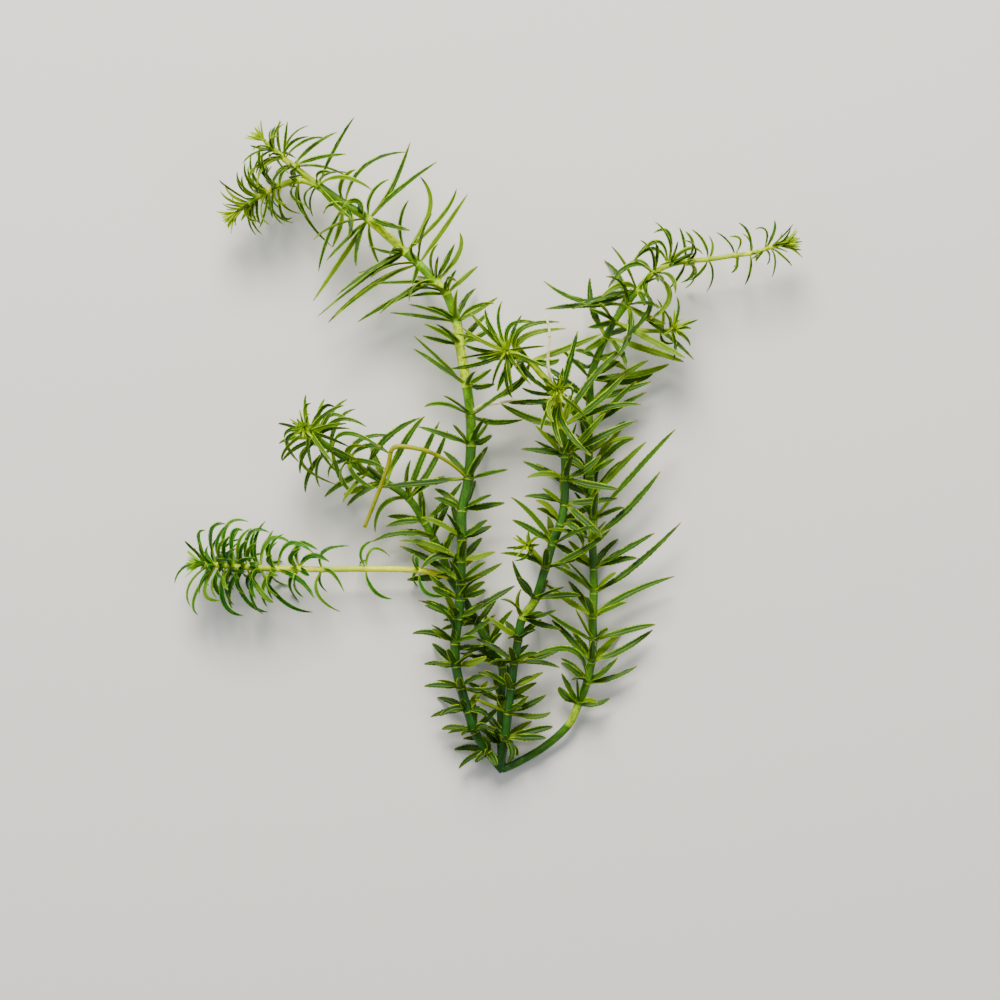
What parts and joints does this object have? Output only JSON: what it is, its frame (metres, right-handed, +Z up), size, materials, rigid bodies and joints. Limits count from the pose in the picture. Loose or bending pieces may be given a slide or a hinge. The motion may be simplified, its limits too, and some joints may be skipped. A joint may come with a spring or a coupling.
{
  "type": "aquarium plant egeria najas",
  "caption": "Branching freshwater plant of long round stems with whorls of narrow pointed leaves, side shoots and thin roots, lying flat on its back.",
  "frame": {"origin": "middle of the plant's outline, on the surface that it lies on", "axes": "+Y from the cut base towards the tips, +X to the right seen from above, +Z up from the surface"},
  "size_m": [0.1566, 0.1638, 0.0309],
  "materials": {
    "mature_shoot": "satin, moist leaf and stem skin",
    "growing_tip": "satin, moist young leaf skin",
    "side_shoot": "satin, moist leaf skin on a pale stalk",
    "white_root": "smooth, slightly translucent root skin",
    "brown_root": "smooth, slightly translucent root skin"
  },
  "bodies": {
    "root": {"main_stem": "mature_shoot", "main_stem_left_tip": "growing_tip", "main_stem_upper_tip": "growing_tip", "middle_stem": "mature_shoot", "middle_stem_left_branch": "growing_tip", "middle_stem_front_tip": "growing_tip", "small_shoot": "growing_tip", "right_stem": "mature_shoot", "right_stem_tip": "growing_tip", "right_stem_side_shoot": "growing_tip", "left_stem": "mature_shoot", "left_side_shoot": "side_shoot", "white_root_upright": "white_root", "white_root_across": "white_root", "brown_root": "brown_root"}
  },
  "joints": []
}
